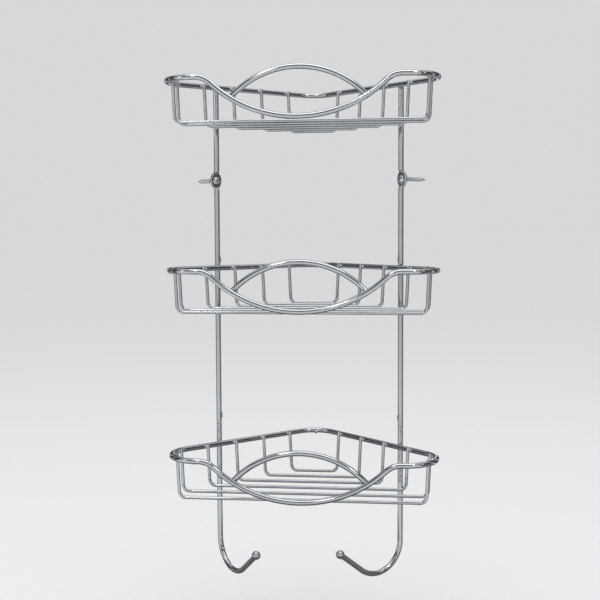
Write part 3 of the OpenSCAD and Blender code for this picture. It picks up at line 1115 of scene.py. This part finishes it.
def add_lamp(name, place, aim, width, height, radiance, colour=(1, 1, 1)):
    """A soft rectangular lamp that points at aim. A radiance of 1 looks white."""
    data = bpy.data.lights.new(name, "AREA")
    data.shape = "RECTANGLE"
    data.size, data.size_y = width, height
    data.energy = radiance * math.pi * width * height
    data.color = colour
    lamp = bpy.data.objects.new(name, data)
    lamp.location = place
    lamp.rotation_euler = (Vector(aim) - Vector(place)).to_track_quat("-Z", "Y").to_euler()
    bpy.context.scene.collection.objects.link(lamp)
    return lamp


def make_lamps():
    """A large lamp overhead, a cool one to the left, a warm one to the right and two small ones."""
    aim = (0, -0.08, -0.2)
    add_lamp("overhead", (0.0, -0.35, 1.3), aim, 1.5, 1.1, 1.5)
    add_lamp("left", (-1.5, -0.9, 0.5), aim, 0.35, 0.9, 1.6, (0.84, 0.93, 1.0))
    add_lamp("right", (1.6, -0.7, 0.45), aim, 0.25, 0.8, 1.2, (1.0, 0.88, 0.80))
    for name, place in (("small_left", (-0.45, -1.3, 0.75)), ("small_right", (0.85, -1.0, 0.62))):
        lamp = add_lamp(name, place, aim, 0.20, 0.20, 9.0)
        lamp.visible_diffuse = False


def make_screens():
    """Dark cloths that only reflections show: a disc of painted shade beneath the part, and others
    hung all round.
    """
    low, high = HOOK_LOW.z - studio().floor_gap + 1 * MM, 2.0
    radius, skirt, shade_disc = 2.4, 0.33, 0.30
    steps = 8
    vertices, faces = [(0, 0, low)], []
    for start, end, bottom in SCREENS:
        first = len(vertices)
        for k in range(steps + 1):
            angle = math.radians(start + (end - start) * k / steps)
            x, y = math.sin(angle), -math.cos(angle)
            foot = radius if bottom else skirt
            vertices += [
                (foot * x, foot * y, bottom or low), (radius * x, radius * y, bottom or low),
                (radius * x, radius * y, high)]
        for k in range(steps):
            a = first + 3 * k
            if not bottom:
                faces.append((a, a + 3, a + 4, a + 1))
            faces.append((a + 1, a + 4, a + 5, a + 2))
    # The disc beneath the part is painted shade: a dark sheet standing in for the shaded floor
    # there, seen only in reflections
    first, count = len(vertices), 48
    for k in range(count):
        angle = 2 * math.pi * k / count
        vertices.append((shade_disc * math.sin(angle), -shade_disc * math.cos(angle), low))
        faces.append((0, first + k, first + (k + 1) % count))
    mesh = bpy.data.meshes.new("screens")
    mesh.from_pydata(vertices, [], faces)
    screens = link_object("screens", mesh)
    screens.visible_camera = screens.visible_shadow = screens.visible_diffuse = False
    made = matt_material("screen_cloth")
    height = made.add("ShaderNodeSeparateXYZ", [(0, made.place)])
    dark = made.ramp(height.outputs["Z"], -0.30, 0.40)
    made.link(made.mix(dark, (0.17, 0.175, 0.18), (0.045, 0.05, 0.055)),
              made.shader.inputs["Base Color"])
    mesh.materials.append(made.material)


def make_camera():
    """The camera, from its place, yaw, pitch and roll."""
    view = studio()
    data = bpy.data.cameras.new("camera")
    data.lens = view.camera_lens
    data.sensor_width = 36
    camera = bpy.data.objects.new("camera", data)
    forward = Vector((
        math.sin(view.camera_yaw) * math.cos(view.camera_pitch),
        math.cos(view.camera_yaw) * math.cos(view.camera_pitch),
        math.sin(view.camera_pitch)))
    right = Vector((math.cos(view.camera_yaw), -math.sin(view.camera_yaw), 0))
    up = right.cross(forward)
    c, s = math.cos(view.camera_roll), math.sin(view.camera_roll)
    turned_right, turned_up = c * right + s * up, -s * right + c * up
    turn = Matrix((turned_right, turned_up, -forward)).transposed().to_4x4()
    camera.matrix_world = Matrix.Translation(view.camera_place) @ turn
    bpy.context.scene.collection.objects.link(camera)
    bpy.context.scene.camera = camera


# ---------------------------------------------------------------- panel and registration

class CADDY_PT_panel(bpy.types.Panel):
    """Lists the caddy's pieces in the sidebar"""

    bl_label = "Shower Caddy"
    bl_idname = "CADDY_PT_panel"
    bl_space_type = "VIEW_3D"
    bl_region_type = "UI"
    bl_category = "Shower Caddy"

    def draw(self, context):
        scene = context.scene
        for group in (scene.caddy_sizes, scene.caddy_finishes, scene.caddy_studio):
            box = self.layout.box()
            for name in group.__annotations__:
                box.prop(group, name)
        for operator in OPERATORS:
            self.layout.operator(operator.bl_idname)


SETTINGS = (
    ("caddy_sizes", CaddySizes), ("caddy_finishes", CaddyFinishes), ("caddy_studio", CaddyStudio))
OPERATORS = (
    CADDY_OT_rims, CADDY_OT_arches, CADDY_OT_floor_wires, CADDY_OT_rods, CADDY_OT_hook_balls,
    CADDY_OT_screws, CADDY_OT_welds, CADDY_OT_stage)


def register():
    for name, group in SETTINGS:
        bpy.utils.register_class(group)
        setattr(bpy.types.Scene, name, PointerProperty(type=group))
    for operator in OPERATORS:
        bpy.utils.register_class(operator)
    bpy.utils.register_class(CADDY_PT_panel)


def unregister():
    bpy.utils.unregister_class(CADDY_PT_panel)
    for operator in reversed(OPERATORS):
        bpy.utils.unregister_class(operator)
    for name, group in reversed(SETTINGS):
        delattr(bpy.types.Scene, name)
        bpy.utils.unregister_class(group)


def main():
    """Builds every piece and the stage."""
    register()
    for make in (bpy.ops.caddy.rims, bpy.ops.caddy.arches, bpy.ops.caddy.floor_wires,
                 bpy.ops.caddy.rods, bpy.ops.caddy.hook_balls, bpy.ops.caddy.screws,
                 bpy.ops.caddy.welds, bpy.ops.caddy.stage):
        make()


if __name__ == "__main__":
    main()
